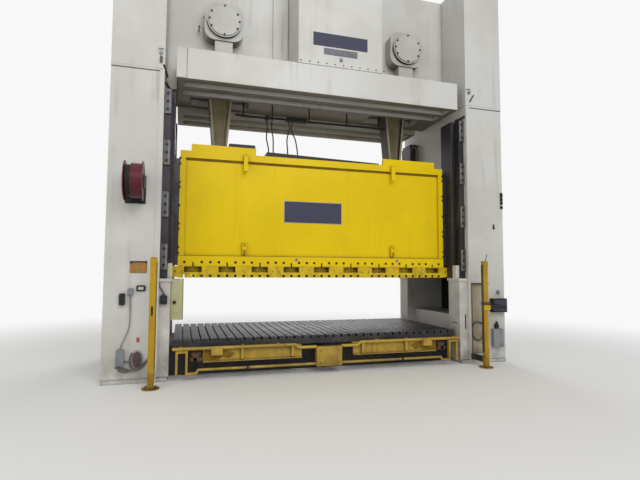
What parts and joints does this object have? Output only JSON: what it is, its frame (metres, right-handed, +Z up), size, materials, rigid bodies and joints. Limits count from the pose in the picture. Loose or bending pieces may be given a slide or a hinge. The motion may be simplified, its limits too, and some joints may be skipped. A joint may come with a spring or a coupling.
{
  "type": "straight-side stamping press",
  "caption": "Wide straight-side mechanical press with a slotted slide hung on two connecting rods, geared crown, gibs, bolster, guards and a hose reel.",
  "frame": {"origin": "centre of the bounding box at floor level", "axes": "+X to the right across the slide, +Y away from the operator's front, +Z up"},
  "size_m": [7.7, 3.47, 8.67],
  "materials": {
    "slide_yellow": "glossy machine enamel",
    "safety_yellow": "worn satin safety paint",
    "cream_paint": "satin machine enamel",
    "dark_steel": "oily dark machined and blackened steel",
    "machined_steel": "machined, oiled",
    "cast_iron": "cast with cut teeth",
    "rod_cream": "dull old enamel",
    "black_paint": "satin black",
    "grey_enclosure": "grey hammer paint",
    "reel_red": "dark red enamel",
    "hose_rubber": "matt"
  },
  "bodies": {
    "press_frame": {"bearing_cover_left": "cream_paint", "bearing_cover_right": "cream_paint", "bearing_housing_left": "cream_paint", "bearing_housing_right": "cream_paint", "bed": "dark_steel", "belt_guard": "cream_paint", "bolster": "dark_steel", "control_box": "black_paint", "crown": "cream_paint", "crown_drive_box": "cream_paint", "crown_front_beam": "cream_paint", "curtain_post_left": "safety_yellow", "curtain_post_right": "safety_yellow", "drive_belt": "hose_rubber", "eccentric_pin_left": "machined_steel", "eccentric_pin_right": "machined_steel", "front_bracket_left": "safety_yellow", "front_bracket_right": "safety_yellow", "front_centre_box": "safety_yellow", "front_rail_left": "safety_yellow", "front_rail_right": "safety_yellow", "gib_front_left": "dark_steel", "gib_front_right": "dark_steel", "gib_rear_left": "dark_steel", "gib_rear_right": "dark_steel", "junction_box": "grey_enclosure", "lower_post_front_left": "cream_paint", "lower_post_front_right": "cream_paint", "lower_post_rear_left": "cream_paint", "lower_post_rear_right": "cream_paint", "motor": "grey_enclosure", "rear_cover_left": "cream_paint", "rear_cover_right": "cream_paint", "reel_bracket": "dark_steel", "side_guard_left": "black_paint", "side_guard_right": "black_paint", "tie_rod_front_left": "machined_steel", "tie_rod_front_right": "machined_steel", "tie_rod_rear_left": "machined_steel", "tie_rod_rear_right": "machined_steel", "upright_left": "cream_paint", "upright_right": "cream_paint", "valve_box": "grey_enclosure"},
    "slide": {"slide": "slide_yellow", "slide_plate": "slide_yellow", "slide_liner_front_left": "machined_steel", "slide_liner_front_right": "machined_steel", "slide_liner_rear_left": "machined_steel", "slide_liner_rear_right": "machined_steel"},
    "eccentric_left": {"eccentric_gear_left": "cast_iron"},
    "eccentric_right": {"eccentric_gear_right": "cast_iron"},
    "rod_left": {"connecting_rod_left": "rod_cream"},
    "rod_right": {"connecting_rod_right": "rod_cream"},
    "idler_left": {"idler_gear_left": "cast_iron"},
    "idler_right": {"idler_gear_right": "cast_iron"},
    "drive_shaft": {"drive_shaft": "cast_iron"},
    "flywheel": {"flywheel": "cast_iron"},
    "motor_pulley": {"motor_pulley": "cast_iron"},
    "hose_reel": {"reel_drum": "reel_red", "reel_hose": "hose_rubber"}
  },
  "joints": [
    {"name": "slide_travel", "type": "slide", "parent": "press_frame", "child": "slide", "axis": [0, 0, 1], "range_m": [0, 0.6]},
    {"name": "eccentric_left_turn", "type": "hinge", "parent": "press_frame", "child": "eccentric_left", "pos_m": [-1.95, 0.34, 6.67], "axis": [0, 1, 0], "range_deg": [0, 180]},
    {"name": "eccentric_right_turn", "type": "hinge", "parent": "press_frame", "child": "eccentric_right", "pos_m": [1.95, 0.34, 6.67], "axis": [0, 1, 0], "range_deg": [-180, 0]},
    {"name": "rod_left_swing", "type": "hinge", "parent": "eccentric_left", "child": "rod_left", "pos_m": [-1.95, 0.34, 6.37], "axis": [0, 1, 0], "range_deg": [-180, 0]},
    {"name": "rod_right_swing", "type": "hinge", "parent": "eccentric_right", "child": "rod_right", "pos_m": [1.95, 0.34, 6.37], "axis": [0, 1, 0], "range_deg": [0, 180]},
    {"name": "idler_left_turn", "type": "hinge", "parent": "press_frame", "child": "idler_left", "pos_m": [-0.5, 0.34, 6.67], "axis": [0, 1, 0], "range_deg": [-342, 0]},
    {"name": "idler_right_turn", "type": "hinge", "parent": "press_frame", "child": "idler_right", "pos_m": [0.5, 0.34, 6.67], "axis": [0, 1, 0], "range_deg": [0, 342]},
    {"name": "drive_shaft_turn", "type": "hinge", "parent": "press_frame", "child": "drive_shaft", "pos_m": [0.5, 0.34, 7.52], "axis": [0, 1, 0], "range_deg": [-488.57, 0]},
    {"name": "flywheel_turn", "type": "hinge", "parent": "press_frame", "child": "flywheel", "pos_m": [0.5, 0.34, 7.52], "axis": [0, 1, 0], "continuous": true},
    {"name": "motor_turn", "type": "hinge", "parent": "press_frame", "child": "motor_pulley", "pos_m": [-0.6, 0.34, 8.41], "axis": [0, 1, 0], "continuous": true},
    {"name": "hose_reel_turn", "type": "hinge", "parent": "press_frame", "child": "hose_reel", "pos_m": [-3.4, -1.415, 3.28], "axis": [1, 0, 0], "continuous": true}
  ],
  "couplings": [
    {"joint": "eccentric_left_turn", "follows": "slide_travel", "rad_per_m": 5.236},
    {"joint": "eccentric_right_turn", "follows": "slide_travel", "rad_per_m": -5.236},
    {"joint": "rod_left_swing", "follows": "slide_travel", "rad_per_m": -5.236},
    {"joint": "rod_right_swing", "follows": "slide_travel", "rad_per_m": 5.236},
    {"joint": "idler_left_turn", "follows": "slide_travel", "rad_per_m": -9.9484},
    {"joint": "idler_right_turn", "follows": "slide_travel", "rad_per_m": 9.9484},
    {"joint": "drive_shaft_turn", "follows": "slide_travel", "rad_per_m": -14.212},
    {"joint": "motor_turn", "follows": "flywheel_turn", "ratio": 6.25}
  ]
}
